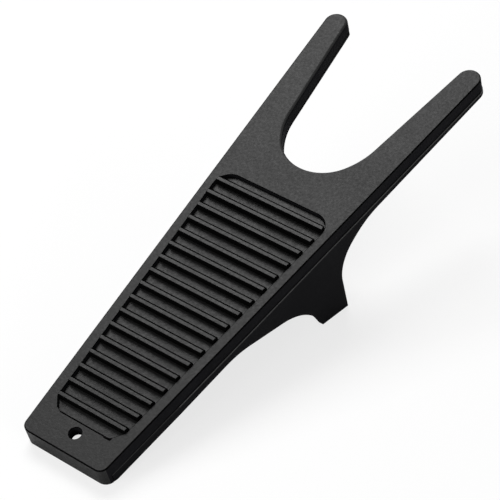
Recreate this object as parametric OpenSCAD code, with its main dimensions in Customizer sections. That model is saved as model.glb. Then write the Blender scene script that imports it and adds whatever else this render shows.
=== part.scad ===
// Boot jack: a sloping foot board with a U-shaped boot mouth, a ribbed tread and one fixed stand.
// Everything is drawn in the board's own frame (x across, y from the tail edge to the fork tips,
// z = 0 on the top face) and then tilted, so that the tail and the stand's soles meet the floor.

/* [Board outline] */
// length of the board along its top face
board_length = 340; // [310:380]
// width of the board at the tail edge
tail_width = 59; // [54:66]
// width of the board at the fork tips
fork_width = 114.3; // [110:122]
// radius of the two tail corners seen from above
tail_corner = 5.5; // [4:7]
// angle of the top face to the floor
stand_tilt = 15.8; // [14.5:17]

/* [Boot mouth] */
// depth of the mouth, from the fork tips to its deepest point
mouth_depth = 113; // [100:120]
// radius at the bottom of the mouth
mouth_radius = 27.5; // [26:29]
// radius of the two shoulders, between the bottom and the straight sides
shoulder_radius = 48; // [44:52]
// angle below the cross line at which the bottom meets a shoulder
shoulder_start = 35; // [30:40]
// how much each side of the mouth opens per millimetre of depth
mouth_flare = 0.15; // [0.13:0.17]

/* [Top plate] */
// thickness of the top skin outside the tread pocket
skin = 3; // [2.6:3.2]
// thickness of the wall around the plate
plate_wall = 3; // [2.6:3.4]
// depth of the wall around the plate, down to the joint line
plate_depth = 8.6; // [8.4:9.2]
// thickness of the skin under the tread pocket
pocket_skin = 2.8; // [2.4:3.2]
// width of the solid border around the pocket
pocket_border = 2.5; // [2:3]

/* [Tread] */
// depth of the pocket that holds the tread
pocket_depth = 4.5; // [4.2:4.8]
// distance from the tail edge to the pocket
pocket_start = 20.5; // [20:23]
// distance from the pocket to the bottom of the mouth
pocket_web = 23.3; // [21:28]
// width of the pocket at its tail end, before the corners are cut
pocket_tail_width = 48; // [44:48]
// width of the pocket at its mouth end, before the corners are rounded
pocket_front_width = 80.4; // [74:81]
// radius of the pocket's two corners near the mouth
pocket_corner = 10.5; // [9:12]
// length of the cut corners at the tail end, across the board
pocket_cut_x = 4.8; // [4:6]
// length of the cut corners at the tail end, along the board
pocket_cut_y = 7; // [6:8]
// gap around the tread inside its pocket
tread_gap = 0.3; // [0.15:0.3]
// thickness of the tread between its ribs
tread_base = 2; // [1.6:2.2]
// width of one rib
rib_width = 3.6; // [3:4]
// distance from one rib to the next
rib_pitch = 10.44; // [9.5:11.5]
// distance from the pocket's tail end to the first rib
rib_start = 6.7; // [6:7.5]
// least distance from the last rib to the front end of the pocket
rib_end_gap = 5; // [4:6]
// height of the ribs above the top face
rib_rise = 1.9; // [1.4:2.2]

/* [Hanging hole] */
// radius of the hanging hole
hole_radius = 3.7; // [3.2:4]
// distance from the tail edge to the hole
hole_inset = 12.9; // [12.5:13.3]
// length of the hole through the plate and its collar
hole_length = 7.3; // [6.6:7.8]
// width of the collar around the hole
hole_collar = 3.5; // [3:4]

/* [Lower frame] */
// how far the lower frame stands out below the top plate
ledge = 0.7; // [0.4:0.8]
// length from the tail over which that ledge grows from nothing
ledge_run = 60; // [40:90]
// height of the shadow gap between plate and frame
groove_height = 0.5; // [0.3:0.7]
// depth of the shadow gap behind the plate's face
groove_depth = 1.2; // [1:1.4]
// thickness of the rim and of the stand's two sides
frame_wall = 3.2; // [3:3.6]
// thickness of the closed pan under the top plate
pan = 2.5; // [2.3:2.8]
// depth of the rim's lower edge below the top face, at the tail
rim_depth_tail = 16.4; // [16:17]
// depth of the rim's lower edge below the top face, at the fork tips
rim_depth_tip = 12.3; // [12.3:13]
// depth of the floor below the top face, at the tail edge
floor_depth = 13.94; // [13.6:14.2]
// width of the open bay under the hanging hole
bay_width = 27; // [24:28]
// end of that open bay, measured from the tail edge
bay_end = 24; // [22:27]
// distance from the tail edge to the first stiffening rib under the pan
pan_rib_start = 58; // [50:62]
// distance from one stiffening rib to the next
pan_rib_pitch = 34; // [30:36]
// thickness of the stiffening ribs under the pan
pan_rib = 2; // [1.6:2.6]
// height of those ribs
pan_rib_height = 3.2; // [2.6:3.4]

/* [Stand] */
// distance from the fork tips back to where the side starts to drop
stand_back = 231.9; // [230:234]
// distance from the fork tips back to the knee of the rear edge
knee_back = 175.2; // [174:177]
// depth of that knee below the top face
knee_z = 35.5; // [34.5:36.5]
// distance from the fork tips back to the heel of the foot
heel_back = 166.8; // [165.5:168]
// distance from the fork tips back to the toe of the foot
toe_back = 144.7; // [141:145.5]
// depth of the bend in the front edge below the top face
front_bend_z = 28; // [27:29]
// distance from the fork tips back to where the front edge meets the rim
front_back = 118.3; // [116:119]
// radius of the upper curve on the rear edge
rear_upper_radius = 56; // [50:60]
// radius of the lower curve on the rear edge
rear_lower_radius = 44; // [40:46]
// radius of the lower curve on the front edge
front_lower_radius = 26; // [22:28]
// radius of the upper curve on the front edge
front_upper_radius = 47; // [42:50]
// thickness of the cross wall that joins the two sides
web_thickness = 3; // [2.6:3.6]
// height of the arch in that cross wall above the floor
arch_height = 26; // [20:30]
// length by which the two upper corners of the arch are cut
arch_corner = 9; // [6:12]
// distance from the inner edge of a sole flange to the foot of the arch
arch_step = 1.5; // [1:3]
// width of the flange along the inside of each sole
sole_flange = 10; // [8:12]
// thickness of that flange
sole_thickness = 3; // [2.6:3.6]
// distance from the heel of the foot to the rear edge of that flange
sole_setback = 4.3; // [3:6]
// distance from the toe of the foot to the front edge of that flange
sole_toe_gap = 0.5; // [0.4:2]

/* [Screws] */
// radius of the screw shank
shank_radius = 1.9; // [1.7:2]
// radial clearance of the screw in both pieces
screw_clearance = 0.1; // [0.08:0.15]
// radius of the screw head
head_radius = 3.5; // [3.2:3.7]
// radial room around the head in its seat
head_clearance = 0.4; // [0.3:0.6]
// height of the screw head
head_height = 1.8; // [1.6:1.9]
// depth of the head's seat below the top face
seat_depth = 10.6; // [10.5:10.8]
// length of the shank above the head's seat
shank_length = 7.1; // [6.6:7.4]
// wall of plastic around each screw in the top plate
boss_wall = 2.4; // [2:2.6]
// distance from the centre line to the two tail screws
tail_screw_x = 19; // [18.5:19.5]
// distance from the centre line to the two screws beside the mouth's bottom
root_screw_x = 34; // [33.5:35]
// distance from those two screws to the bottom of the mouth, along the board
root_screw_back = 11; // [10:12]
// distance from the two fork screws to the fork tips, along the board
fork_screw_back = 42; // [38:46]

/* [Hidden] */
$fn = 96;
joint_gap = 0.3;
far = 90;
pan_ribs = 3;

stand_start = board_length - stand_back;
knee_y = board_length - knee_back;
heel_y = board_length - heel_back;
toe_y = board_length - toe_back;
stand_end = board_length - front_back;

half_tail = tail_width / 2;
side_rate = (fork_width - tail_width) / 2 / board_length;
side_norm = sqrt(1 + side_rate * side_rate);
flare_norm = sqrt(1 + mouth_flare * mouth_flare);
mouth_bottom = board_length - mouth_depth;
mouth_centre = mouth_bottom + mouth_radius;

// The shoulder circle is tangent to the bottom circle at shoulder_start, and the straight side of
// the mouth is tangent to the shoulder circle.
radius_step = shoulder_radius - mouth_radius;
shoulder_x = -radius_step * cos(shoulder_start);
shoulder_y = mouth_centre + radius_step * sin(shoulder_start);
mouth_line = shoulder_x + shoulder_radius * flare_norm - mouth_flare * shoulder_y;

pocket_end = mouth_bottom - pocket_web;
rib_first = pocket_start + rib_start;
rib_count = floor((pocket_end - rib_end_gap - rib_first - rib_width) / rib_pitch) + 1;

screw_points = [
    [tail_screw_x, hole_inset],
    [root_screw_x, mouth_bottom - root_screw_back],
    [fork_screw_x(board_length - fork_screw_back), board_length - fork_screw_back]
];

// The lower frame is one moulding. Its two fork arms are drawn from here on, just past the
// shoulders of the mouth, where both of their sides are straight.
fork_start = shoulder_y - shoulder_radius * mouth_flare / flare_norm + 2;

sole_inner = side_x(heel_y) + ledge - frame_wall - sole_flange;
wall_y = (heel_y + toe_y) / 2;
arch_half = sole_inner + arch_step;
arch_top = floor_z(wall_y) + arch_height;

// Where the tilted board stands: the middle of its length on the floor is the origin.
front_reach = board_length * cos(stand_tilt) + rim_depth_tip * sin(stand_tilt);
floor_rise = floor_depth * cos(stand_tilt);

function floor_z(y) = -floor_depth - y * tan(stand_tilt);
function side_x(y) = half_tail + side_rate * y;
function mouth_x(y) = mouth_line + mouth_flare * y;
function fork_screw_x(y) = (side_x(y) + mouth_x(y)) / 2;
function rim_depth(y) = rim_depth_tail + (rim_depth_tip - rim_depth_tail) * y / board_length;

// Radius of a full round between the outer side and the mouth's side, with its far end on the tip line.
function tip_radius(extra) =
    (half_tail + extra - mouth_line - (mouth_flare - side_rate) * board_length)
    / (side_norm + flare_norm - (mouth_flare - side_rate));

function unit(v) = v / norm(v);
// Corner of an outline, counterclockwise, after both of its sides move inwards by e.
function inset_corner(before, corner, after, e) =
    let (a = unit(corner - before), b = unit(after - corner))
    corner + e * ([-a[1], a[0]] + [-b[1], b[0]]) / (1 + a * b);

// Points along an arc, both ends included.
function arc(centre, r, from, to, steps) =
    [for (i = [0 : steps])
        let (angle = from + (to - from) * i / steps)
        centre + r * [cos(angle), sin(angle)]];

// Points that round the corner p between the points a and b.
function rounded(a, p, b, r, steps) =
    let (
        u = unit(a - p),
        v = unit(b - p),
        half_angle = acos(u * v) / 2,
        centre = p + unit(u + v) * r / sin(half_angle),
        from = p + u * r / tan(half_angle) - centre,
        to = p + v * r / tan(half_angle) - centre,
        start = atan2(from[1], from[0]),
        turn = atan2(from[0] * to[1] - from[1] * to[0], from * to)
    )
    arc(centre, r, start, start + turn, steps);

side_angle = atan(side_rate);
flare_angle = atan(mouth_flare);

// One half of the board seen from above, with every edge moved inwards by e. The side may carry a
// ledge that grows from nothing at the tail.
function half_outline(e, side_ledge) =
    let (
        tip_r = tip_radius(side_ledge * side_norm),
        tip_y = board_length - tip_r,
        tip_x = side_x(tip_y) + side_ledge - tip_r * side_norm,
        corner_x = side_x(tail_corner) - tail_corner * side_norm,
        ledge_point = [side_x(ledge_run) + side_ledge - e * side_norm, ledge_run]
    )
    concat(
        arc([corner_x, tail_corner], tail_corner - e, -90, -side_angle, 10),
        side_ledge > 0 ? [ledge_point] : [],
        arc([tip_x, tip_y], tip_r - e, -side_angle, 180 - flare_angle, 22),
        arc([shoulder_x, shoulder_y], shoulder_radius + e, -flare_angle, -shoulder_start, 9),
        [for (i = [1 : 13])
            let (angle = -shoulder_start - (90 - shoulder_start) * i / 13)
            [0, mouth_centre] + (mouth_radius + e) * [cos(angle), sin(angle)]]
    );

// Joins half an outline to its mirror image, leaving out doubled points on the centre line.
function whole(half) =
    concat(half, [for (i = [len(half) - 1 : -1 : 0]) if (half[i][0] > 0.001) [-half[i][0], half[i][1]]]);

module outline(e = 0, side_ledge = 0) {
    polygon(whole(half_outline(e, side_ledge)));
}

// The tread pocket seen from above, with every edge moved inwards by e.
module pocket(e = 0) {
    rate = (pocket_front_width - pocket_tail_width) / 2 / (pocket_end - pocket_start);
    rate_norm = sqrt(1 + rate * rate);
    tail_x = pocket_tail_width / 2;
    front_x = pocket_front_width / 2;
    cut_start = [tail_x - pocket_cut_x, pocket_start];
    cut_end = [tail_x + rate * pocket_cut_y, pocket_start + pocket_cut_y];
    round_centre = [front_x - (rate + rate_norm) * pocket_corner, pocket_end - pocket_corner];
    polygon(whole(concat(
        [inset_corner([0, pocket_start], cut_start, cut_end, e)],
        [inset_corner(cut_start, cut_end, [front_x, pocket_end], e)],
        arc(round_centre, pocket_corner - e, -atan(rate), 90, 16)
    )));
}

// The stand and the rim seen from the side: y across the drawing, z up.
module side_shape() {
    start = [stand_start, -rim_depth(stand_start)];
    knee = [knee_y, -knee_z];
    heel = [heel_y, floor_z(heel_y)];
    toe = [toe_y, floor_z(toe_y)];
    bend = [toe_y + 0.2, -front_bend_z];
    end = [stand_end, -rim_depth(stand_end)];
    tail_end = [-far, -rim_depth(-far)];
    tip_end = [board_length + far, -rim_depth(board_length + far)];
    polygon(concat(
        [[-far, 0], tail_end],
        rounded(tail_end, start, knee, rear_upper_radius, 6),
        rounded(start, knee, heel, rear_lower_radius, 14),
        [knee + (heel - knee) * 2, bend + (toe - bend) * 2],
        rounded(toe, bend, end, front_lower_radius, 14),
        rounded(bend, end, tip_end, front_upper_radius, 10),
        [tip_end, [board_length + far, 0]]
    ));
}

// Runs a side drawing across the whole width of the board.
module across(width) {
    rotate([90, 0, 90])
        linear_extrude(height = width, center = true)
            children();
}

// Everything between the floor and a given height above it.
module above_floor(height) {
    translate([0, 0, -floor_depth])
        rotate([-stand_tilt, 0, 0])
            translate([-2 * far, -far, 0])
                cube([4 * far, board_length + 3 * far, height]);
}

// A solid on the right and its mirror image on the left.
module both_sides() {
    children();
    mirror([1, 0, 0])
        children();
}

module at_screws() {
    for (p = screw_points)
        for (side = [-1, 1])
            translate([side * p[0], p[1], 0])
                children();
}

// Moulded plate with the fork, the tread pocket, the hanging hole and the closed tail end.
module top_plate() {
    color([0.12, 0.12, 0.13])
    difference() {
        union() {
            difference() {
                translate([0, 0, -plate_depth])
                    linear_extrude(height = plate_depth)
                        outline();
                // pocket for the tread
                translate([0, 0, -pocket_depth])
                    linear_extrude(height = far)
                        pocket();
                // hollow under the pocket's skin
                translate([0, 0, -far])
                    linear_extrude(height = far - pocket_depth - pocket_skin)
                        outline(plate_wall);
                // hollow under the rest of the skin
                translate([0, 0, -far])
                    linear_extrude(height = far - skin)
                        difference() {
                            outline(plate_wall);
                            pocket(-pocket_border);
                        }
            }
            // collar of the hanging hole
            translate([0, hole_inset, -hole_length])
                cylinder(r = hole_radius + hole_collar, h = hole_length - skin / 2);
            // screw bosses, down to the pan
            at_screws()
                translate([0, 0, -plate_depth])
                    cylinder(r = shank_radius + boss_wall, h = plate_depth - skin / 2);
            // the tail end reaches the floor
            intersection() {
                translate([0, 0, -far])
                    linear_extrude(height = far - skin / 2)
                        difference() {
                            outline();
                            outline(plate_wall);
                            translate([-far, tail_corner])
                                square([2 * far, board_length + far]);
                        }
                above_floor(far);
            }
        }
        translate([0, hole_inset, -far])
            cylinder(r = hole_radius, h = 2 * far);
        at_screws()
            translate([0, 0, -far])
                cylinder(r = shank_radius + screw_clearance, h = far - seat_depth + shank_length + joint_gap);
    }
}

// Ribbed tread that lies in the plate's pocket.
module tread_insert() {
    color([0.16, 0.16, 0.17])
    union() {
        translate([0, 0, -pocket_depth])
            linear_extrude(height = tread_base)
                pocket(tread_gap);
        translate([0, 0, -pocket_depth + tread_base / 2])
            linear_extrude(height = pocket_depth - tread_base / 2 + rib_rise)
                intersection() {
                    pocket(tread_gap);
                    for (i = [0 : rib_count - 1])
                        translate([-far, rib_first + i * rib_pitch])
                            square([2 * far, rib_width]);
                }
    }
}

// Stiffening ribs under the pan and the two sole flanges.
module frame_inside() {
    intersection() {
        translate([0, 0, -2 * far])
            linear_extrude(height = 2 * far - plate_depth)
                outline(frame_wall / 2, ledge);
        union() {
            for (i = [0 : pan_ribs - 1])
                translate([-far, pan_rib_start + i * pan_rib_pitch, -plate_depth - pan - pan_rib_height])
                    cube([2 * far, pan_rib, pan_rib_height + pan / 2]);
            intersection() {
                above_floor(sole_thickness);
                translate([-far, heel_y + sole_setback, -2 * far])
                    cube([2 * far, toe_y - heel_y - sole_setback - sole_toe_gap, 2 * far]);
                both_sides()
                    translate([sole_inner, 0, -2 * far])
                        cube([far, board_length, 2 * far]);
            }
        }
    }
}

// Lower shell: rim, closed pan and the two sides of the stand, as one moulding.
module frame_shell() {
    difference() {
        union() {
            difference() {
                intersection() {
                    translate([0, 0, -2 * far])
                        linear_extrude(height = 2 * far - plate_depth)
                            outline(0, ledge);
                    across(4 * far)
                        side_shape();
                    above_floor(2 * far);
                    translate([-far, tail_corner + joint_gap, -2 * far])
                        cube([2 * far, board_length, 2 * far]);
                }
                // space inside the rim, below the pan
                translate([0, 0, -3 * far])
                    linear_extrude(height = 3 * far - plate_depth - pan)
                        outline(frame_wall, ledge);
                // shadow gap around the joint
                translate([0, 0, -plate_depth - groove_height])
                    linear_extrude(height = far)
                        difference() {
                            square(10 * board_length, center = true);
                            outline(groove_depth, 0);
                        }
            }
            frame_inside();
        }
        // bay under the hanging hole
        translate([-bay_width / 2, -far, -far])
            cube([bay_width, far + bay_end, far]);
        at_screws() {
            translate([0, 0, -far])
                cylinder(r = shank_radius + screw_clearance, h = 2 * far);
            translate([0, 0, -far - seat_depth])
                cylinder(r = head_radius + head_clearance, h = far);
        }
    }
}

// Lower shell from the tail to the shoulders of the mouth, with the stand.
module lower_frame() {
    color([0.08, 0.08, 0.09])
    difference() {
        frame_shell();
        translate([-far, fork_start, -2 * far])
            cube([2 * far, board_length, 3 * far]);
    }
}

// One fork arm of the lower shell: side is -1 on the left and 1 on the right.
module fork_frame(side) {
    color([0.08, 0.08, 0.09])
    intersection() {
        frame_shell();
        translate([side * far / 2, fork_start + board_length / 2, -far])
            cube([far, board_length, 4 * far], center = true);
    }
}

// Cross wall of the stand, square to the board. It stands on the two sole flanges, and its arch
// has flat sides.
module cross_wall() {
    color([0.08, 0.08, 0.09])
    intersection() {
        translate([0, 0, -2 * far])
            linear_extrude(height = 2 * far - plate_depth - pan)
                outline(frame_wall, ledge);
        translate([0, wall_y, 0])
            rotate([90, 0, 0])
                linear_extrude(height = web_thickness, center = true)
                    difference() {
                        translate([-far, -2 * far])
                            square(2 * far);
                        polygon([
                            [-arch_half, -2 * far],
                            [arch_half, -2 * far],
                            [arch_half, arch_top - arch_corner],
                            [arch_half - arch_corner, arch_top],
                            [arch_corner - arch_half, arch_top],
                            [-arch_half, arch_top - arch_corner]
                        ]);
                    }
        translate([0, 0, sole_thickness / cos(stand_tilt)])
            above_floor(2 * far);
    }
}

// Six self-tapping screws, driven from below through the pan into the plate.
module screws() {
    color([0.55, 0.55, 0.56])
    at_screws()
        difference() {
            union() {
                translate([0, 0, -seat_depth - head_height])
                    cylinder(r = head_radius, h = head_height);
                translate([0, 0, -seat_depth - head_height / 2])
                    cylinder(r = shank_radius, h = shank_length + head_height / 2);
            }
            for (turn = [0, 90])
                rotate([0, 0, turn])
                    translate([-head_radius * 0.55, -0.45, -seat_depth - head_height - 1])
                        cube([head_radius * 1.1, 0.9, 1 + head_height * 0.6]);
        }
}

// Tilts the board onto its stand and centres it on the floor.
module standing() {
    translate([0, -front_reach / 2, floor_rise])
        rotate([stand_tilt, 0, 0])
            children();
}

standing() top_plate();
standing() tread_insert();
standing() lower_frame();
standing() fork_frame(-1);  // fork_frame_left
standing() fork_frame(1);  // fork_frame_right
standing() cross_wall();
standing() screws();
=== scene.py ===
import math

import bmesh
import bpy
from mathutils import Matrix, Vector


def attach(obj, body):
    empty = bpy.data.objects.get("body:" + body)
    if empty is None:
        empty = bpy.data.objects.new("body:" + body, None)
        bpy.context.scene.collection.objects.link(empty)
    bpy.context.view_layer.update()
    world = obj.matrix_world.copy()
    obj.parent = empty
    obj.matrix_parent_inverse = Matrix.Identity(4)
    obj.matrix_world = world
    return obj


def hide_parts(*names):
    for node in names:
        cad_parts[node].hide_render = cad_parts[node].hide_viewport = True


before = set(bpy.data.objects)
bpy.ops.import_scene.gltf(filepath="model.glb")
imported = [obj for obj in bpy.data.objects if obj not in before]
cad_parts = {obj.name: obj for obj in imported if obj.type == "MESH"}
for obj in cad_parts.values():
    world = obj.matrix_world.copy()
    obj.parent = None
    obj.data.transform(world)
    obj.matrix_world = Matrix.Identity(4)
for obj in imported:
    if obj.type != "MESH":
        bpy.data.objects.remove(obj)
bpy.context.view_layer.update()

BOARD_LENGTH = 340.0
TAIL_WIDTH = 59.0
FORK_WIDTH = 114.3
TAIL_CORNER = 5.5
STAND_TILT = 15.8

MOUTH_DEPTH = 113.0
MOUTH_RADIUS = 27.5
SHOULDER_RADIUS = 48.0
SHOULDER_START = 35.0
MOUTH_FLARE = 0.15

SKIN = 3.0
PLATE_WALL = 3.0
PLATE_DEPTH = 8.6
POCKET_SKIN = 2.8
POCKET_BORDER = 2.5

POCKET_DEPTH = 4.5
POCKET_START = 20.5
POCKET_END = 203.7
POCKET_TAIL_WIDTH = 48.0
POCKET_FRONT_WIDTH = 80.4
POCKET_CORNER = 10.5
POCKET_CUT = (4.8, 7.0)

TREAD_GAP = 0.3
TREAD_BASE = 2.0
RIB_WIDTH = 3.6
RIB_PITCH = 10.44
RIB_FIRST = 27.2
RIB_COUNT = 17
RIB_RISE = 1.9
RIB_EASE = 0.35
RIB_ROUND = 1.3

HOLE_RADIUS = 3.7
HOLE_INSET = 12.9
HOLE_LENGTH = 7.3
HOLE_COLLAR = 3.5

LEDGE = 0.7
LEDGE_RUN = 60.0
GROOVE_HEIGHT = 0.5
GROOVE_DEPTH = 1.2
FRAME_WALL = 3.2
LIP_BOTTOM = 9.2
LIP_TIP = 11.5
LIP_HEIGHT = 6.0
LIP_REACH = 4.5
PAN = 2.5
RIM_DEPTH_TAIL = 16.4
RIM_DEPTH_TIP = 12.3
FLOOR_DEPTH = 13.94
BAY_WIDTH = 27.0
BAY_END = 24.0
PAN_RIB = 2.0
PAN_RIB_HEIGHT = 3.2
PAN_RIB_START = 58.0
PAN_RIB_PITCH = 34.0
PAN_RIBS = 3

STAND_START = 108.1
KNEE = (164.8, -35.5)
HEEL_Y = 173.2
TOE_Y = 195.3
FRONT_BEND = (195.5, -28.0)
STAND_END = 221.7
REAR_UPPER_RADIUS = 56.0
REAR_LOWER_RADIUS = 44.0
FRONT_LOWER_RADIUS = 26.0
FRONT_UPPER_RADIUS = 47.0
WEB_THICKNESS = 3.0
ARCH_HEIGHT = 26.0
ARCH_CORNER = 9.0
ARCH_STEP = 1.5
SOLE_FLANGE = 10.0
SOLE_THICKNESS = 3.0
SOLE_SETBACK = 4.3
SOLE_TOE_GAP = 0.5

SHANK_RADIUS = 1.9
SCREW_CLEARANCE = 0.1
HEAD_RADIUS = 3.5
HEAD_CLEARANCE = 0.4
SEAT_DEPTH = 10.6
SHANK_LENGTH = 7.1
BOSS_WALL = 2.4
TAIL_SCREW_X = 19.0
ROOT_SCREW_X = 34.0
ROOT_SCREW_BACK = 11.0
FORK_SCREW_BACK = 42.0
JOINT_GAP = 0.3

# Roundings of the moulded edges, which the construction model leaves sharp.
MOUTH_ROUND = 2.0
BOARD_ROUND = 0.7
POCKET_ROUND = 1.3
OPENING_ROUND = 0.45
FOOT_ROUND = 0.3
LEDGE_ROUND = 0.45
RIM_ROUND = 0.4

# The ledge is rounded where it is wider than this, and the rounding's painted highlight is fainter
# behind LEDGE_FADE.
LEDGE_LEAST = 0.2
LEDGE_FADE = 90.0

# Edges this far below the ledge are the rim's, and points this close behind the mouth are its own.
RIM_BELOW_LEDGE = 1.0
MOUTH_MARGIN = 2.5

SIDE_RATE = (FORK_WIDTH - TAIL_WIDTH) / 2 / BOARD_LENGTH
SIDE_NORM = math.hypot(1, SIDE_RATE)
SIDE_ANGLE = math.degrees(math.atan(SIDE_RATE))
FLARE_NORM = math.hypot(1, MOUTH_FLARE)
FLARE_ANGLE = math.degrees(math.atan(MOUTH_FLARE))
MOUTH_BOTTOM = BOARD_LENGTH - MOUTH_DEPTH
MOUTH_CENTRE = MOUTH_BOTTOM + MOUTH_RADIUS
SHOULDER_STEP = SHOULDER_RADIUS - MOUTH_RADIUS
SHOULDER_X = -SHOULDER_STEP * math.cos(math.radians(SHOULDER_START))
SHOULDER_Y = MOUTH_CENTRE + SHOULDER_STEP * math.sin(math.radians(SHOULDER_START))
MOUTH_LINE = SHOULDER_X + SHOULDER_RADIUS * FLARE_NORM - MOUTH_FLARE * SHOULDER_Y
TILT = math.radians(STAND_TILT)

# How far the cutting shapes run on past the board.
FAR = 90.0

# The largest distances at which points count as one, as touching, and as on an outline.
DOUBLED = 0.002
TOUCH = 0.01
ON_OUTLINE = 0.05

# Angles between two faces. Below the first they are made one face, above the second their edge
# can be rounded, and above the third it stays crisp.
FLAT_ANGLE = math.radians(0.4)
EDGE_ANGLE = math.radians(28)
CREASE_ANGLE = math.radians(32)

# Faces are painted by one part of their normal.
FACING_UP = 0.999
FACING_TAIL = -0.3
MOSTLY_UP = 0.6
UPRIGHT = 0.05


def side_x(y):
    return TAIL_WIDTH / 2 + SIDE_RATE * y


def mouth_x(y):
    return MOUTH_LINE + MOUTH_FLARE * y


def rim_z(y):
    return -RIM_DEPTH_TAIL + (RIM_DEPTH_TAIL - RIM_DEPTH_TIP) * y / BOARD_LENGTH


def floor_z(y):
    return -FLOOR_DEPTH - y * math.tan(TILT)


def lip_z(y):
    """Where the frame's wall in the mouth starts to slope away from the boot."""
    along = (y - MOUTH_BOTTOM) / MOUTH_DEPTH
    return -LIP_BOTTOM + (LIP_BOTTOM - LIP_TIP) * along


HEEL = (HEEL_Y, floor_z(HEEL_Y))
TOE = (TOE_Y, floor_z(TOE_Y))
SOLE_INNER = side_x(HEEL_Y) + LEDGE - FRAME_WALL - SOLE_FLANGE
FORK_SCREW_Y = BOARD_LENGTH - FORK_SCREW_BACK
SCREW_PLACES = (
    (TAIL_SCREW_X, HOLE_INSET),
    (ROOT_SCREW_X, MOUTH_BOTTOM - ROOT_SCREW_BACK),
    ((side_x(FORK_SCREW_Y) + mouth_x(FORK_SCREW_Y)) / 2, FORK_SCREW_Y),
)
SCREW_SPOTS = [(side * x, y) for x, y in SCREW_PLACES for side in (-1, 1)]

# The board's frame, tilted and centred on the floor, in metres.
FRONT_REACH = BOARD_LENGTH * math.cos(TILT) + RIM_DEPTH_TIP * math.sin(TILT)
STANDING = (
    Matrix.Scale(0.001, 4)
    @ Matrix.Translation((0, -FRONT_REACH / 2, FLOOR_DEPTH * math.cos(TILT)))
    @ Matrix.Rotation(TILT, 4, "X")
)


# Outlines, as lists of points.
def arc(centre, radius, start, end, steps):
    points = []
    for i in range(steps + 1):
        angle = math.radians(start + (end - start) * i / steps)
        points.append((centre[0] + radius * math.cos(angle), centre[1] + radius * math.sin(angle)))
    return points


def rounded(before, corner, after, radius, steps):
    """Points that round a corner between two straight lines."""
    p = Vector(corner)
    u = (Vector(before) - p).normalized()
    v = (Vector(after) - p).normalized()
    half_angle = u.angle(v) / 2
    centre = p + (u + v).normalized() * radius / math.sin(half_angle)
    reach = radius / math.tan(half_angle)
    first = p + u * reach - centre
    last = p + v * reach - centre
    start = math.atan2(first.y, first.x)
    turn = math.atan2(first.x * last.y - first.y * last.x, first.dot(last))
    return arc(centre, radius, math.degrees(start), math.degrees(start + turn), steps)


def inset(points, amount):
    """The same outline with every side moved inwards."""
    moved = []
    for i, point in enumerate(points):
        a = (Vector(point) - Vector(points[i - 1])).normalized()
        b = (Vector(points[(i + 1) % len(points)]) - Vector(point)).normalized()
        side = Vector((-a.y - b.y, a.x + b.x)) / (1 + a.dot(b))
        moved.append((point[0] + amount * side.x, point[1] + amount * side.y))
    return moved


def whole(half):
    """Adds the mirrored side to the points of one side, which end on the centre line."""
    return half + [(-x, y) for x, y in reversed(half) if x > TOUCH]


def mouth_side():
    """One side of the mouth: its shoulder, and its bottom as far as the centre line."""
    shoulder = arc((SHOULDER_X, SHOULDER_Y), SHOULDER_RADIUS, -FLARE_ANGLE, -SHOULDER_START, 9)
    return shoulder + arc((0, MOUTH_CENTRE), MOUTH_RADIUS, -SHOULDER_START, -90, 13)[1:]


def board_outline(ledge=0.0):
    """The board seen from above. The ledge grows from nothing at the tail."""
    spread = MOUTH_FLARE - SIDE_RATE
    tip_r = TAIL_WIDTH / 2 + ledge * SIDE_NORM - MOUTH_LINE - spread * BOARD_LENGTH
    tip_r /= SIDE_NORM + FLARE_NORM - spread
    tip_y = BOARD_LENGTH - tip_r
    tip_x = side_x(tip_y) + ledge - tip_r * SIDE_NORM
    corner_x = side_x(TAIL_CORNER) - TAIL_CORNER * SIDE_NORM
    half = arc((corner_x, TAIL_CORNER), TAIL_CORNER, -90, -SIDE_ANGLE, 10)
    if ledge:
        half.append((side_x(LEDGE_RUN) + ledge, LEDGE_RUN))
    half += arc((tip_x, tip_y), tip_r, -SIDE_ANGLE, 180 - FLARE_ANGLE, 22)
    return whole(half + mouth_side())


def mouth_outline():
    """The mouth alone, running on past the tips."""
    end = BOARD_LENGTH + FAR
    return whole([(mouth_x(end), end)] + mouth_side())


def pocket_outline():
    rate = (POCKET_FRONT_WIDTH - POCKET_TAIL_WIDTH) / 2 / (POCKET_END - POCKET_START)
    rate_norm = math.hypot(1, rate)
    tail_x = POCKET_TAIL_WIDTH / 2
    cut_x, cut_y = POCKET_CUT
    round_x = POCKET_FRONT_WIDTH / 2 - (rate + rate_norm) * POCKET_CORNER
    half = [(tail_x - cut_x, POCKET_START), (tail_x + rate * cut_y, POCKET_START + cut_y)]
    start = -math.degrees(math.atan(rate))
    half += arc((round_x, POCKET_END - POCKET_CORNER), POCKET_CORNER, start, 90, 16)
    return whole(half)


def side_outline():
    """The rim and the stand seen from the side, as (y, z) points."""
    start = (STAND_START, rim_z(STAND_START))
    end = (STAND_END, rim_z(STAND_END))
    tail_end = (-FAR, rim_z(-FAR))
    tip_end = (BOARD_LENGTH + FAR, rim_z(BOARD_LENGTH + FAR))
    below_heel = (2 * HEEL[0] - KNEE[0], 2 * HEEL[1] - KNEE[1])
    below_toe = (2 * TOE[0] - FRONT_BEND[0], 2 * TOE[1] - FRONT_BEND[1])
    points = [(-FAR, 0), tail_end]
    points += rounded(tail_end, start, KNEE, REAR_UPPER_RADIUS, 6)
    points += rounded(start, KNEE, HEEL, REAR_LOWER_RADIUS, 14)
    points += [below_heel, below_toe]
    points += rounded(TOE, FRONT_BEND, end, FRONT_LOWER_RADIUS, 14)
    points += rounded(FRONT_BEND, end, tip_end, FRONT_UPPER_RADIUS, 10)
    points += [tip_end, (BOARD_LENGTH + FAR, 0)]
    return points


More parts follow.
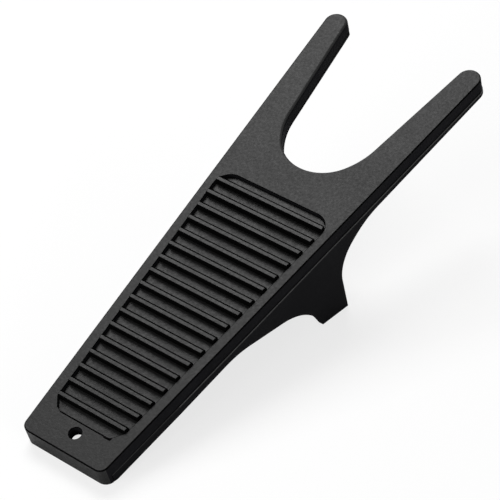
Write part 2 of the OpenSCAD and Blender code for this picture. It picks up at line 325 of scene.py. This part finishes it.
# Solids. Each is a plain object in the board's frame until it is finished.
def solid(points, low, high, place=lambda a, b, c: (a, b, c), end=None):
    """An outline drawn through a depth. place turns its two values and the depth into x, y, z.

    With end, the outline changes evenly into that one on the way.
    """
    shape = bmesh.new()
    bottom = [shape.verts.new(place(a, b, low)) for a, b in points]
    top = [shape.verts.new(place(a, b, high)) for a, b in end or points]
    shape.faces.new(bottom)
    shape.faces.new(top)
    for i in range(len(points)):
        shape.faces.new((bottom[i - 1], bottom[i], top[i], top[i - 1]))
    bmesh.ops.recalc_face_normals(shape, faces=shape.faces)
    mesh = bpy.data.meshes.new("solid")
    shape.to_mesh(mesh)
    shape.free()
    part = bpy.data.objects.new("solid", mesh)
    bpy.context.scene.collection.objects.link(part)
    return part


def block(low, high):
    corners = [(low[0], low[1]), (high[0], low[1]), (high[0], high[1]), (low[0], high[1])]
    return solid(corners, low[2], high[2])


def round_bar(x, y, radius, low, high, steps=40):
    return solid(arc((x, y), radius, 0, 360 * (steps - 1) / steps, steps - 1), low, high)


def across(points, width):
    return solid(points, -width / 2, width / 2, lambda y, z, x: (x, y, z))


def above_floor(height):
    """Everything between the floor and a height above it."""
    rise = height / math.cos(TILT)
    ends = (-FAR, BOARD_LENGTH + FAR)
    low = [(y, floor_z(y)) for y in ends]
    high = [(y, floor_z(y) + rise) for y in reversed(ends)]
    return across(low + high, 4 * FAR)


def combine(body, other, operation):
    shaping = body.modifiers.new("shaping", "BOOLEAN")
    shaping.operation = operation
    shaping.solver = "EXACT"
    shaping.object = other
    shaped = body.evaluated_get(bpy.context.evaluated_depsgraph_get())
    mesh = bpy.data.meshes.new_from_object(shaped)
    body.modifiers.clear()
    old = body.data
    body.data = mesh
    bpy.data.meshes.remove(old)
    used = other.data
    bpy.data.objects.remove(other)
    bpy.data.meshes.remove(used)
    return body


def cut(body, *tools):
    for tool in tools:
        combine(body, tool, "DIFFERENCE")
    return body


def join(body, *others):
    for other in others:
        combine(body, other, "UNION")
    return body


def within(body, *others):
    for other in others:
        combine(body, other, "INTERSECT")
    return body


def opened(part):
    """The part's mesh as a shape to work on, with clean flat faces."""
    shape = bmesh.new()
    shape.from_mesh(part.data)
    bmesh.ops.remove_doubles(shape, verts=shape.verts, dist=DOUBLED)
    bmesh.ops.dissolve_degenerate(shape, edges=shape.edges, dist=DOUBLED)
    bmesh.ops.dissolve_limit(
        shape, angle_limit=FLAT_ANGLE, verts=shape.verts, edges=shape.edges, delimit={"NORMAL"}
    )
    return shape


def sharp_edges(shape, wanted):
    """The edges between two clearly different faces whose middle the test accepts."""
    found = []
    for edge in shape.edges:
        if len(edge.link_faces) == 2 and edge.calc_face_angle(0) > EDGE_ANGLE:
            middle = (edge.verts[0].co + edge.verts[1].co) / 2
            if wanted(middle):
                found.append(edge)
    return found


def round_edges(shape, wanted, radius, segments, material):
    edges = sharp_edges(shape, wanted)
    bmesh.ops.bevel(
        shape, geom=edges, offset=radius, offset_type="OFFSET", segments=segments, profile=0.5,
        affect="EDGES", clamp_overlap=False, material=material,
    )


def round_by_share(part, shape, share, radius, segments, material, materials):
    """Rounds sharp edges by different amounts: share gives each one its part of the radius."""
    amount = shape.edges.layers.float.new("bevel_weight_edge")
    for edge in sharp_edges(shape, lambda middle: share(middle) > 0):
        edge[amount] = share((edge.verts[0].co + edge.verts[1].co) / 2)
    for finish in materials:
        part.data.materials.append(finish)
    shape.to_mesh(part.data)
    rounding = part.modifiers.new("rounding", "BEVEL")
    rounding.limit_method = "WEIGHT"
    rounding.width = radius
    rounding.segments = segments
    rounding.material = material
    rounding.use_clamp_overlap = False
    mesh = bpy.data.meshes.new_from_object(
        part.evaluated_get(bpy.context.evaluated_depsgraph_get())
    )
    part.modifiers.clear()
    shape.clear()
    shape.from_mesh(mesh)
    shape.edges.layers.float.remove(shape.edges.layers.float["bevel_weight_edge"])
    bpy.data.meshes.remove(mesh)


def finish_piece(name, part, shape, materials, nodes):
    """Stands the shape up, gives it smooth faces with crisp edges, puts it under the root body and
    hides the parts that it replaces.
    """
    shape.transform(STANDING)
    bmesh.ops.recalc_face_normals(shape, faces=shape.faces)
    part.name = name
    part.data.name = name
    part.data.materials.clear()
    for material in materials:
        part.data.materials.append(material)
    shape.to_mesh(part.data)
    shape.free()
    for face in part.data.polygons:
        face.use_smooth = True
    part.data.set_sharp_from_angle(angle=CREASE_ANGLE)
    even = part.modifiers.new("even_normals", "WEIGHTED_NORMAL")
    even.keep_sharp = True
    even.weight = 100
    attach(part, "root")
    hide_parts(*nodes)


# Finishes, and the numbers and nodes that they are made of.
class Value:
    """A number that varies over a surface or from ray to ray. It takes part in Python sums."""

    def __init__(self, nodes, socket):
        self.nodes = nodes
        self.socket = socket

    def _sum(self, operation, first, second):
        node = self.nodes.add("ShaderNodeMath", {"operation": operation}, {0: first, 1: second})
        return Value(self.nodes, node.outputs[0])

    def __add__(self, other):
        return self._sum("ADD", self, other)

    def __radd__(self, other):
        return self._sum("ADD", other, self)

    def __mul__(self, other):
        return self._sum("MULTIPLY", self, other)

    def __rmul__(self, other):
        return self._sum("MULTIPLY", other, self)

    def or_more(self, other):
        """The larger of the two."""
        return self._sum("MAXIMUM", self, other)


class Nodes:
    """A node tree. Its nodes are added and linked here."""

    def __init__(self, tree):
        self.tree = tree

    def add(self, kind, settings=None, sockets=None):
        node = self.tree.nodes.new(kind)
        for key, value in (settings or {}).items():
            setattr(node, key, value)
        for key, value in (sockets or {}).items():
            self.join(node.inputs[key], value)
        return node

    def join(self, socket, value):
        if isinstance(value, Value):
            value = value.socket
        if isinstance(value, bpy.types.NodeSocket):
            self.tree.links.new(value, socket)
        else:
            socket.default_value = value


class Finish(Nodes):
    """One material. It starts as a plain Principled surface."""

    def __init__(self, name):
        self.material = bpy.data.materials.new(name)
        self.material.use_nodes = True
        super().__init__(self.material.node_tree)
        self.surface = self.tree.nodes["Principled BSDF"]

    def noise(self, scale, detail, rough=0.5):
        spot = self.add("ShaderNodeTexCoord").outputs["Object"]
        sockets = {"Vector": spot, "Scale": scale, "Detail": detail, "Roughness": rough}
        return Value(self, self.add("ShaderNodeTexNoise", None, sockets).outputs["Fac"])

    def blend(self, amount, low, high):
        """A colour between two colours."""
        settings = {"data_type": "RGBA"}
        node = self.add("ShaderNodeMix", settings, {0: amount, 6: (*low, 1), 7: (*high, 1)})
        return node.outputs[2]

    def bump(self, height, strength, distance):
        sockets = {"Height": height, "Strength": strength, "Distance": distance}
        return self.add("ShaderNodeBump", None, sockets).outputs["Normal"]

    def set(self, **values):
        for key, value in values.items():
            self.join(self.surface.inputs[key.replace("_", " ")], value)


def grey(level, blue=0.0):
    return (level, level, level + blue)


BROAD_SCALE = 38
GRAIN_SCALE = 640
GRAIN_HEIGHT = 0.0002
MOTTLE = 0.7
BROAD_SHADE = 0.4
BROAD_GLOSS = 0.1
GRAIN_GLOSS = 0.36


def moulded_plastic(name, level, roughness, specular, blue=0.0, grain=0.0):
    """Black moulded plastic. Grain gives the fine pebbled skin of a textured mould.

    Level and roughness are averages, and noise varies both of them over the surface.
    """
    finish = Finish(name)
    broad = finish.noise(BROAD_SCALE, 3)
    fine = finish.noise(GRAIN_SCALE, 2, 0.6)
    shade = broad * BROAD_SHADE + fine * (1 - BROAD_SHADE)
    dark = grey(level * (1 - MOTTLE), blue)
    light = grey(level * (1 + MOTTLE), blue)
    average = (BROAD_GLOSS + GRAIN_GLOSS) / 2
    finish.set(
        Base_Color=finish.blend(shade, dark, light),
        Roughness=broad * BROAD_GLOSS + fine * GRAIN_GLOSS + (roughness - average),
        Specular_IOR_Level=specular,
    )
    if grain:
        finish.set(Normal=finish.bump(fine, grain, GRAIN_HEIGHT))
    return finish.material


def zinc_steel():
    finish = Finish("zinc_steel")
    worn = finish.noise(260, 2)
    finish.set(
        Base_Color=(0.56, 0.56, 0.57, 1),
        Metallic=1.0,
        Roughness=worn * 0.14 + 0.24,
    )
    return finish.material


GRAINED_TOP = moulded_plastic("grained_top", 0.006, roughness=0.5, specular=0.175, grain=0.7)
SMOOTH_SIDE = moulded_plastic("smooth_side", 0.0082, roughness=0.65, specular=0.01, blue=0.001)
# Painted shade: rounded edges and the ribs' walls are painted darker than the plastic, with no
# reflection, in place of the dark lines and shadows that light leaves there.
PAINTED_SHADE_EDGE = moulded_plastic("painted_shade_edge", 0.002, roughness=0.6, specular=0.0)
GRAINED_RIB = moulded_plastic("grained_rib", 0.006, roughness=0.42, specular=0.17, grain=0.4)
FRAME_SKIN = moulded_plastic("frame_skin", 0.009, roughness=0.65, specular=0.01, blue=0.0008)
# Painted highlight: the ledge's rounding is painted lighter and glossier than the frame to make a
# bright line along it, and the second finish paints a fainter one near the tail.
PAINTED_HIGHLIGHT_EDGE = moulded_plastic("painted_highlight_edge", 0.012, roughness=0.3, specular=0.42)
FAINT_PAINTED_HIGHLIGHT_EDGE = moulded_plastic("faint_painted_highlight_edge", 0.012, roughness=0.4, specular=0.12)
ZINC_STEEL = zinc_steel()

# The places of a piece's materials in its list. EDGE holds a piece's painted edge, painted shade on
# the board and a painted highlight on the frame, and FAINT the frame's fainter painted highlight.
SIDE, TOP, EDGE, FAINT = 0, 1, 2, 3


# Telling the faces and edges of a piece apart.
def near_outline(point, outline):
    """Distance in plan from a point to an outline, or FAR where it is further than that."""
    spot = Vector((point.x, point.y))
    nearest = FAR
    for i, corner in enumerate(outline):
        a = Vector(outline[i - 1])
        b = Vector(corner)
        run = b - a
        along = max(0, min(1, (spot - a).dot(run) / run.length_squared))
        nearest = min(nearest, (a + run * along - spot).length)
    return nearest


def on_outline(point, outline):
    return near_outline(point, outline) < ON_OUTLINE


def at_height(point, z):
    return abs(point.z - z) < TOUCH


def across_prong(point):
    """0 on the mouth's side of a prong, 1 on its outer side."""
    width = side_x(point.y) - mouth_x(point.y)
    return max(0, min(1, (abs(point.x) - mouth_x(point.y)) / width))


def in_mouth(point):
    """True for the mouth's side of the prongs and for the mouth's bottom."""
    return point.y > MOUTH_BOTTOM - MOUTH_MARGIN and across_prong(point) < 0.5


def paint(shape, material, wanted):
    """Gives the accepted faces a material. The test takes a face's normal and its middle."""
    for face in shape.faces:
        if face.material_index != EDGE and wanted(face.normal, face.calc_center_median()):
            face.material_index = material


# The pieces.
def plate_body(board, pocket):
    """The top plate with sharp edges: hollow below, with its pocket, hole, bosses and tail wall."""
    inner = inset(board, PLATE_WALL)
    part = solid(board, -PLATE_DEPTH, 0)
    cut(part, solid(pocket, -POCKET_DEPTH, FAR), solid(inner, -FAR, -POCKET_DEPTH - POCKET_SKIN))
    around_pocket = solid(inner, -FAR, -SKIN)
    cut(part, cut(around_pocket, solid(inset(pocket, -POCKET_BORDER), -2 * FAR, FAR)))
    join(part, round_bar(0, HOLE_INSET, HOLE_RADIUS + HOLE_COLLAR, -HOLE_LENGTH, -SKIN / 2))
    for x, y in SCREW_SPOTS:
        join(part, round_bar(x, y, SHANK_RADIUS + BOSS_WALL, -PLATE_DEPTH, -SKIN / 2))
    tail_wall = cut(
        solid(board, -FAR, -PLATE_DEPTH),
        solid(inner, -2 * FAR, FAR),
        block((-FAR, TAIL_CORNER, -2 * FAR), (FAR, BOARD_LENGTH + FAR, FAR)),
    )
    join(part, within(tail_wall, above_floor(FAR)))
    cut(part, round_bar(0, HOLE_INSET, HOLE_RADIUS, -FAR, FAR))
    screw_top = -SEAT_DEPTH + SHANK_LENGTH + JOINT_GAP
    for x, y in SCREW_SPOTS:
        cut(part, round_bar(x, y, SHANK_RADIUS + SCREW_CLEARANCE, -FAR, screw_top))
    return part


def make_top_plate():
    board = board_outline()
    part = plate_body(board, pocket_outline())
    shape = opened(part)

    def top_share(middle):
        """The top edge has a small rounding, and the mouth's left side grows to the full one."""
        least = BOARD_ROUND / MOUTH_ROUND
        if not at_height(middle, 0) or not on_outline(middle, board):
            return 0
        if middle.y < MOUTH_BOTTOM - MOUTH_MARGIN:
            return least
        to_left = max(0, min(1, -middle.x / MOUTH_RADIUS))
        return least + (1 - least) * to_left * (1 - across_prong(middle))

    def at_pocket_tail(middle):
        return at_height(middle, 0) and abs(middle.y - POCKET_START) < TOUCH

    def at_openings(middle):
        return at_height(middle, 0)

    def at_foot(middle):
        return on_outline(middle, board) and middle.z < -PLATE_DEPTH + TOUCH

    materials = (SMOOTH_SIDE, GRAINED_TOP, PAINTED_SHADE_EDGE)
    # The next three roundings get EDGE, the painted shade; the mouth's rounded faces lose it again
    # below.
    round_by_share(part, shape, top_share, MOUTH_ROUND, 5, EDGE, materials)
    round_edges(shape, at_pocket_tail, POCKET_ROUND, 4, EDGE)
    round_edges(shape, at_openings, OPENING_ROUND, 2, EDGE)
    round_edges(shape, at_foot, FOOT_ROUND, 2, SIDE)
    for face in shape.faces:
        if abs(face.normal.z) < UPRIGHT:
            face.material_index = SIDE
        elif face.material_index == EDGE and in_mouth(face.calc_center_median()):
            face.material_index = TOP if face.normal.z > MOSTLY_UP else SIDE
    paint(shape, TOP, lambda normal, middle: normal.z > FACING_UP and middle.z > -TOUCH)
    paint(shape, TOP, lambda normal, middle: normal.y < FACING_TAIL and middle.y < TAIL_CORNER)
    finish_piece("board", part, shape, materials, ["top_plate"])


def tread_section():
    """The mat seen from the side, as (y, z) points: a base, and ribs with a rounded far edge."""
    floor = -POCKET_DEPTH + TREAD_BASE
    points = [(POCKET_START, -POCKET_DEPTH), (POCKET_START, floor)]
    for i in range(RIB_COUNT):
        front = RIB_FIRST + i * RIB_PITCH
        back = front + RIB_WIDTH
        points.append((front, floor))
        points += arc((front + RIB_EASE, RIB_RISE - RIB_EASE), RIB_EASE, 180, 90, 3)
        points += arc((back - RIB_ROUND, RIB_RISE - RIB_ROUND), RIB_ROUND, 90, 0, 6)
        points.append((back, floor))
    return points + [(POCKET_END, floor), (POCKET_END, -POCKET_DEPTH)]


def make_tread():
    """The ribbed mat, drawn across from its side view and kept inside the pocket's outline."""
    bed = inset(pocket_outline(), TREAD_GAP)
    shoulder = RIB_RISE - RIB_EASE
    part = across(tread_section(), FORK_WIDTH)
    eased = solid(bed, shoulder, RIB_RISE + RIB_EASE, end=inset(bed, 2 * RIB_EASE))
    within(part, join(solid(bed, -FAR, shoulder), eased))
    shape = opened(part)
    # Flat tops and the floor between the ribs get the rib finish; the ribs' walls and rounded edges
    # keep the first finish, which is painted shade.
    paint(shape, TOP, lambda normal, middle: normal.z > FACING_UP)
    materials = (PAINTED_SHADE_EDGE, GRAINED_RIB)
    finish_piece("tread", part, shape, materials, ["tread_insert"])


def frame_shell(skirt, board):
    """The rim, the pan and the stand's two sides, with the groove and the lip in the mouth."""
    part = solid(skirt, -2 * FAR, -PLATE_DEPTH)
    behind_tail = block(
        (-FAR, TAIL_CORNER + JOINT_GAP, -3 * FAR), (FAR, BOARD_LENGTH + FAR, FAR)
    )
    within(part, across(side_outline(), 4 * FAR), above_floor(2 * FAR), behind_tail)
    cut(part, solid(inset(skirt, FRAME_WALL), -3 * FAR, -PLATE_DEPTH - PAN))
    groove = block(
        (-2 * FAR, -FAR, -PLATE_DEPTH - GROOVE_HEIGHT), (2 * FAR, BOARD_LENGTH + FAR, FAR)
    )
    cut(part, cut(groove, solid(inset(board, GROOVE_DEPTH), -FAR, 2 * FAR)))
    mouth = mouth_outline()
    lip = solid(
        inset(mouth, LIP_REACH), -LIP_HEIGHT, 0, lambda x, y, z: (x, y, z + lip_z(y)), end=mouth
    )
    return cut(part, lip)


def pan_rib(number):
    y = PAN_RIB_START + number * PAN_RIB_PITCH
    low = -PLATE_DEPTH - PAN - PAN_RIB_HEIGHT
    return block((-FAR, y, low), (FAR, y + PAN_RIB, -PLATE_DEPTH - PAN / 2))


def cross_wall():
    """The wall between the stand's sides, with its arch."""
    wall_y = (HEEL_Y + TOE_Y) / 2
    wall = block(
        (-FAR, wall_y - WEB_THICKNESS / 2, -2 * FAR),
        (FAR, wall_y + WEB_THICKNESS / 2, -PLATE_DEPTH - PAN / 2),
    )
    half = SOLE_INNER + ARCH_STEP
    top = floor_z(wall_y) + ARCH_HEIGHT
    arch = [
        (-half, -3 * FAR),
        (half, -3 * FAR),
        (half, top - ARCH_CORNER),
        (half - ARCH_CORNER, top),
        (ARCH_CORNER - half, top),
        (-half, top - ARCH_CORNER),
    ]
    return cut(wall, solid(arch, 0, BOARD_LENGTH, lambda x, z, y: (x, y, z)))


def sole_flange(side):
    near, wide = sorted((side * SOLE_INNER, side * FAR))
    return block((near, HEEL_Y + SOLE_SETBACK, -2 * FAR), (wide, TOE_Y - SOLE_TOE_GAP, 0))


def frame_body(skirt, board):
    """The whole lower frame with sharp edges."""
    part = frame_shell(skirt, board)
    inner = inset(skirt, FRAME_WALL / 2)
    for i in range(PAN_RIBS):
        join(part, within(pan_rib(i), solid(inner, -FAR, FAR)))
    join(part, within(cross_wall(), above_floor(2 * FAR), solid(inner, -2 * FAR, FAR)))
    for side in (-1, 1):
        sole = above_floor(SOLE_THICKNESS)
        join(part, within(sole_flange(side), sole, solid(inner, -2 * FAR, FAR)))
    cut(part, block((-BAY_WIDTH / 2, -FAR, -FAR), (BAY_WIDTH / 2, BAY_END, 0)))
    for x, y in SCREW_SPOTS:
        cut(part, round_bar(x, y, SHANK_RADIUS + SCREW_CLEARANCE, -FAR, FAR))
        cut(part, round_bar(x, y, HEAD_RADIUS + HEAD_CLEARANCE, -FAR, -SEAT_DEPTH))
    return part


def make_frame():
    skirt = board_outline(LEDGE)
    board = board_outline()
    part = frame_body(skirt, board)
    shape = opened(part)
    ledge_z = -PLATE_DEPTH - GROOVE_HEIGHT

    def at_ledge(middle):
        wide_enough = near_outline(middle, board) > LEDGE_LEAST
        return at_height(middle, ledge_z) and on_outline(middle, skirt) and wide_enough

    def at_rim(middle):
        below = middle.z < ledge_z - RIM_BELOW_LEDGE
        return below and on_outline(middle, skirt) and not in_mouth(middle)

    # The ledge's rounding gets EDGE, a painted highlight, and nearer the tail than LEDGE_FADE it
    # gets FAINT, a fainter painted highlight.
    round_edges(shape, at_ledge, LEDGE_ROUND, 3, EDGE)
    for face in shape.faces:
        if face.material_index == EDGE and face.calc_center_median().y < LEDGE_FADE:
            face.material_index = FAINT
    round_edges(shape, at_rim, RIM_ROUND, 3, SIDE)
    in_groove = -PLATE_DEPTH - TOUCH
    paint(shape, TOP, lambda normal, middle: normal.z > FACING_UP and middle.z < in_groove)
    materials = (FRAME_SKIN, GRAINED_TOP, PAINTED_HIGHLIGHT_EDGE, FAINT_PAINTED_HIGHLIGHT_EDGE)
    nodes = ["lower_frame", "fork_frame_left", "fork_frame_right", "cross_wall"]
    finish_piece("stand_shell", part, shape, materials, nodes)


make_top_plate()
make_tread()
make_frame()
for face_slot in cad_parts["screws"].material_slots:
    face_slot.material = ZINC_STEEL


# Floor, light and camera.
SHADOW_FADE = 0.75
SOFT_LIGHT = 0.15
LAMP_AIM = (0, 0, 0.05)

EYE_PLACE = (592.4, -351.7, 982.4)
EYE_AIM = (10.27, 162.81, 0)
EYE_ROLL = 0.356


def floor_plane():
    """A white floor. Most of what the camera sees of it is plain white, so its shadow is faint."""
    finish = Finish("white_floor")
    finish.set(Base_Color=(0.93, 0.93, 0.93, 1), Roughness=0.9, Specular_IOR_Level=0.1)
    seen = Value(finish, finish.add("ShaderNodeLightPath").outputs["Is Camera Ray"])
    white = finish.add("ShaderNodeEmission", None, {"Color": (1, 1, 1, 1), "Strength": 1.0})
    shares = {0: seen * SHADOW_FADE, 1: finish.surface.outputs[0], 2: white.outputs[0]}
    mixed = finish.add("ShaderNodeMixShader", None, shares)
    finish.join(finish.tree.nodes["Material Output"].inputs["Surface"], mixed.outputs[0])
    shape = bmesh.new()
    bmesh.ops.create_grid(shape, x_segments=1, y_segments=1, size=6)
    mesh = bpy.data.meshes.new("floor")
    shape.to_mesh(mesh)
    shape.free()
    floor = bpy.data.objects.new("floor", mesh)
    floor.data.materials.append(finish.material)
    bpy.context.scene.collection.objects.link(floor)


def white_surroundings():
    """A plain world: white to the camera and in reflections, softer as light."""
    world = bpy.data.worlds.new("surroundings")
    world.use_nodes = True
    bpy.context.scene.world = world
    sky = Nodes(world.node_tree)
    ray = sky.add("ShaderNodeLightPath").outputs
    seen = Value(sky, ray["Is Camera Ray"])
    for name in ("Is Glossy Ray", "Is Transmission Ray"):
        seen = seen.or_more(ray[name])
    background = world.node_tree.nodes["Background"].inputs
    sky.join(background["Strength"], seen * (1 - SOFT_LIGHT) + SOFT_LIGHT)
    sky.join(background["Color"], (1, 1, 1, 1))


def soft_box(name, place, width, height, power):
    light = bpy.data.lights.new(name, "AREA")
    light.shape = "RECTANGLE"
    light.size = width
    light.size_y = height
    light.energy = power
    lamp = bpy.data.objects.new(name, light)
    lamp.location = place
    direction = Vector(LAMP_AIM) - Vector(place)
    lamp.rotation_euler = direction.to_track_quat("-Z", "Y").to_euler()
    bpy.context.scene.collection.objects.link(lamp)


def camera():
    """The photograph's view: a long lens, above and to the right of the tail.

    Its place and the point it aims at are given in the board's own frame.
    """
    place = STANDING @ Vector(EYE_PLACE)
    direction = STANDING @ Vector(EYE_AIM) - place
    turn = direction.to_track_quat("-Z", "Y").to_matrix().to_4x4()
    roll = Matrix.Rotation(math.radians(EYE_ROLL), 4, "Z")
    lens = bpy.data.cameras.new("camera")
    lens.sensor_width = 36
    lens.lens = 156.7
    lens.shift_x = -0.001
    lens.shift_y = 0.001
    lens.clip_end = 30
    eye = bpy.data.objects.new("camera", lens)
    eye.matrix_world = Matrix.Translation(place) @ turn @ roll
    bpy.context.scene.collection.objects.link(eye)
    bpy.context.scene.camera = eye


floor_plane()
white_surroundings()
soft_box("fork_light", (-0.94, 0.58, 1.77), width=1.2, height=1.1, power=36)
soft_box("tail_fill", (-0.4, -1.75, 0.55), width=1.2, height=0.8, power=27)
soft_box("side_fill", (1.5, -0.3, 0.5), width=0.8, height=0.6, power=6)
camera()

view_settings = bpy.context.scene.view_settings
view_settings.view_transform = "Standard"
